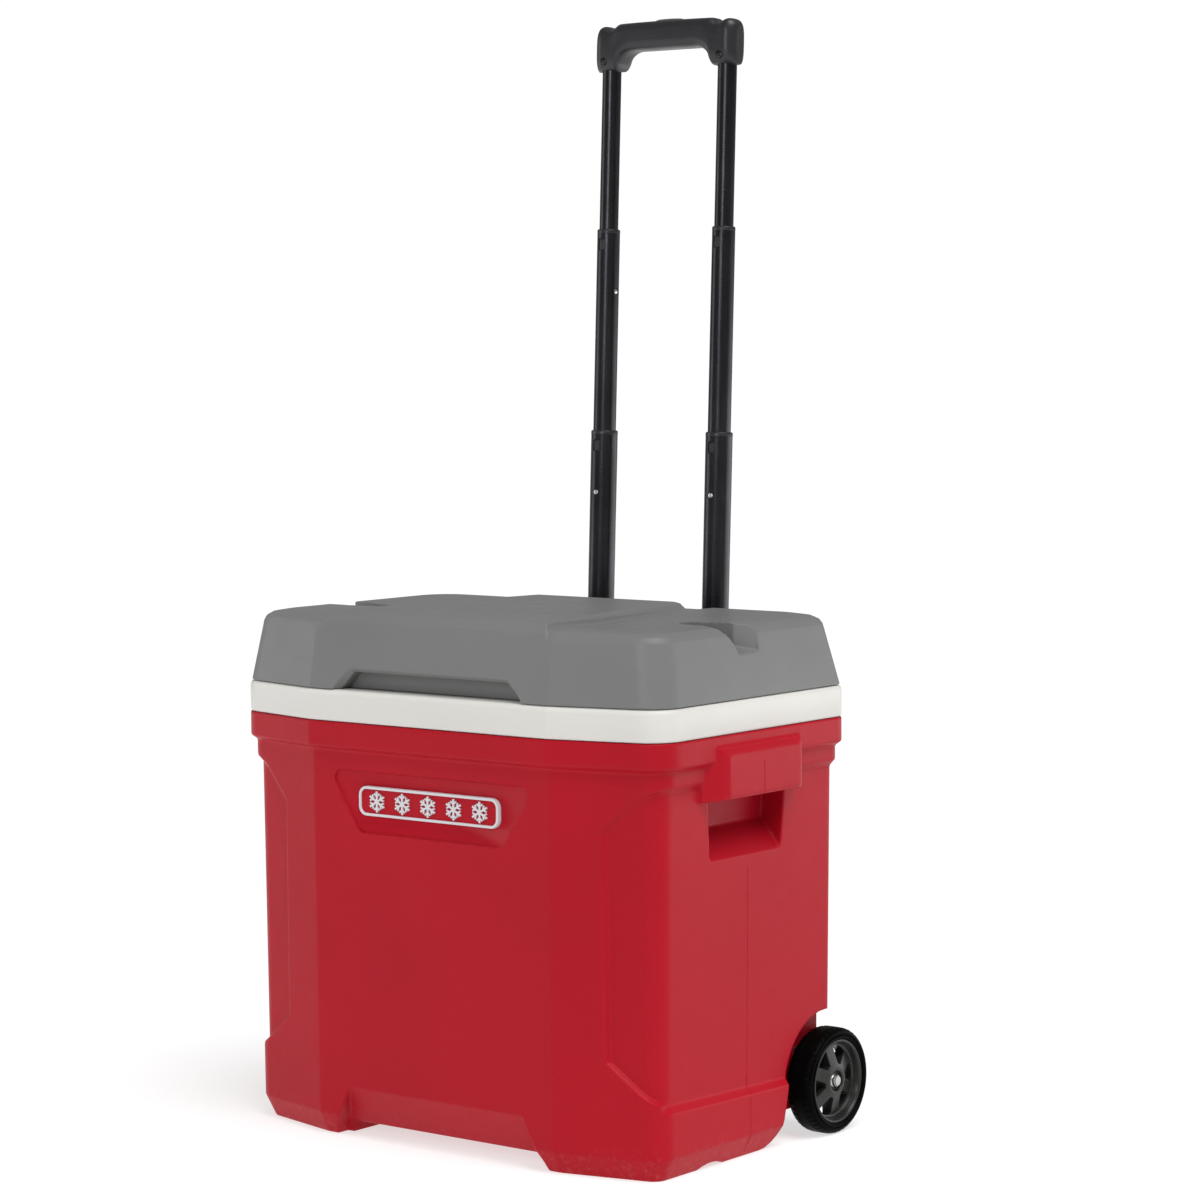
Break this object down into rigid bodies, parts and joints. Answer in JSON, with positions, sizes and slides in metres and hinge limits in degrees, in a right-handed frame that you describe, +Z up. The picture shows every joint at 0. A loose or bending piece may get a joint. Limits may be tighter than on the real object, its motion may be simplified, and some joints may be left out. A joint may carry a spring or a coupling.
{
  "type": "wheeled cooler chest",
  "caption": "Wheeled insulated cooler chest with hinged lid, side grips and a telescopic pull handle at the back.",
  "frame": {"origin": "on the floor under the centre of the whole object's box, handle raised", "axes": "+X to the chest's right side seen from the front, +Y to the back where the handle and wheels are, +Z up"},
  "size_m": [0.474, 0.359, 0.962],
  "materials": {
    "red_shell": "moulded polyethylene, fine grain",
    "white_liner": "smooth moulded polypropylene",
    "foam": "rigid insulating foam",
    "grey_lid": "moulded polyethylene, fine grain",
    "black_plastic": "moulded nylon, satin",
    "black_tube": "black anodised, satin",
    "steel": "zinc plated",
    "tyre": "hard rubber, matt",
    "grip_button": "moulded, satin",
    "badge": "smooth off-white"
  },
  "bodies": {
    "body": {"body_shell": "red_shell", "body_foam": "foam", "inner_liner": "white_liner", "front_badge": "badge", "handle_bracket": "black_plastic", "axle_carrier": "black_plastic", "axle": "steel", "hinge_body_leaf_right": "black_plastic", "hinge_pin_right": "steel", "hinge_body_screw_right": "steel", "outer_sleeve_right": "black_tube", "sleeve_collar_right": "black_plastic", "bracket_screw_right": "steel", "carrier_screw_right": "steel", "push_cap_right": "steel", "hinge_body_leaf_left": "black_plastic", "hinge_pin_left": "steel", "hinge_body_screw_left": "steel", "outer_sleeve_left": "black_tube", "sleeve_collar_left": "black_plastic", "bracket_screw_left": "steel", "carrier_screw_left": "steel", "push_cap_left": "steel"},
    "lid": {"hinge_lid_leaf_right": "black_plastic", "hinge_lid_screw_right": "steel", "hinge_lid_leaf_left": "black_plastic", "hinge_lid_screw_left": "steel", "lid_shell": "grey_lid", "lid_foam": "foam", "lid_liner": "white_liner"},
    "lower_stage": {"lower_tube_right": "black_tube", "lower_collar_right": "black_plastic", "lower_catch_right": "black_plastic", "lower_lock_button_right": "steel", "lower_tube_left": "black_tube", "lower_collar_left": "black_plastic", "lower_catch_left": "black_plastic", "lower_lock_button_left": "steel"},
    "middle_stage": {"middle_tube_right": "black_tube", "middle_collar_right": "black_plastic", "middle_catch_right": "black_plastic", "middle_lock_button_right": "steel", "middle_tube_left": "black_tube", "middle_collar_left": "black_plastic", "middle_catch_left": "black_plastic", "middle_lock_button_left": "steel"},
    "upper_stage": {"upper_tube_right": "black_tube", "grip_screw_right": "steel", "upper_tube_left": "black_tube", "grip_screw_left": "steel", "grip_body": "black_plastic", "grip_cover": "black_plastic"},
    "wheel_right": {"wheel_tyre_right": "tyre", "wheel_hub_right": "black_plastic"},
    "wheel_left": {"wheel_tyre_left": "tyre", "wheel_hub_left": "black_plastic"},
    "release_button": {"grip_button": "grip_button", "release_yoke": "black_plastic"}
  },
  "joints": [
    {"name": "lid_hinge", "type": "hinge", "parent": "body", "child": "lid", "pos_m": [0, 0.11554, 0.3812], "axis": [-1, 0, 0], "range_deg": [0, 44]},
    {"name": "lower_stage_slide", "type": "slide", "parent": "body", "child": "lower_stage", "axis": [0, 0.0441, 0.999], "range_m": [-0.2165, 0]},
    {"name": "middle_stage_slide", "type": "slide", "parent": "lower_stage", "child": "middle_stage", "axis": [0, 0.0441, 0.999], "range_m": [-0.176, 0]},
    {"name": "upper_stage_slide", "type": "slide", "parent": "middle_stage", "child": "upper_stage", "axis": [0, 0.0441, 0.999], "range_m": [-0.14, 0]},
    {"name": "release_button_press", "type": "slide", "parent": "upper_stage", "child": "release_button", "axis": [0, 0.0441, 0.999], "range_m": [-0.0035, 0], "stiffness_N_per_m": 900, "springref_m": 0.0015},
    {"name": "right_wheel_spin", "type": "hinge", "parent": "body", "child": "wheel_right", "pos_m": [0.2195, 0.09054, 0.0455], "axis": [1, 0, 0], "continuous": true},
    {"name": "left_wheel_spin", "type": "hinge", "parent": "body", "child": "wheel_left", "pos_m": [-0.2195, 0.09054, 0.0455], "axis": [1, 0, 0], "continuous": true}
  ]
}
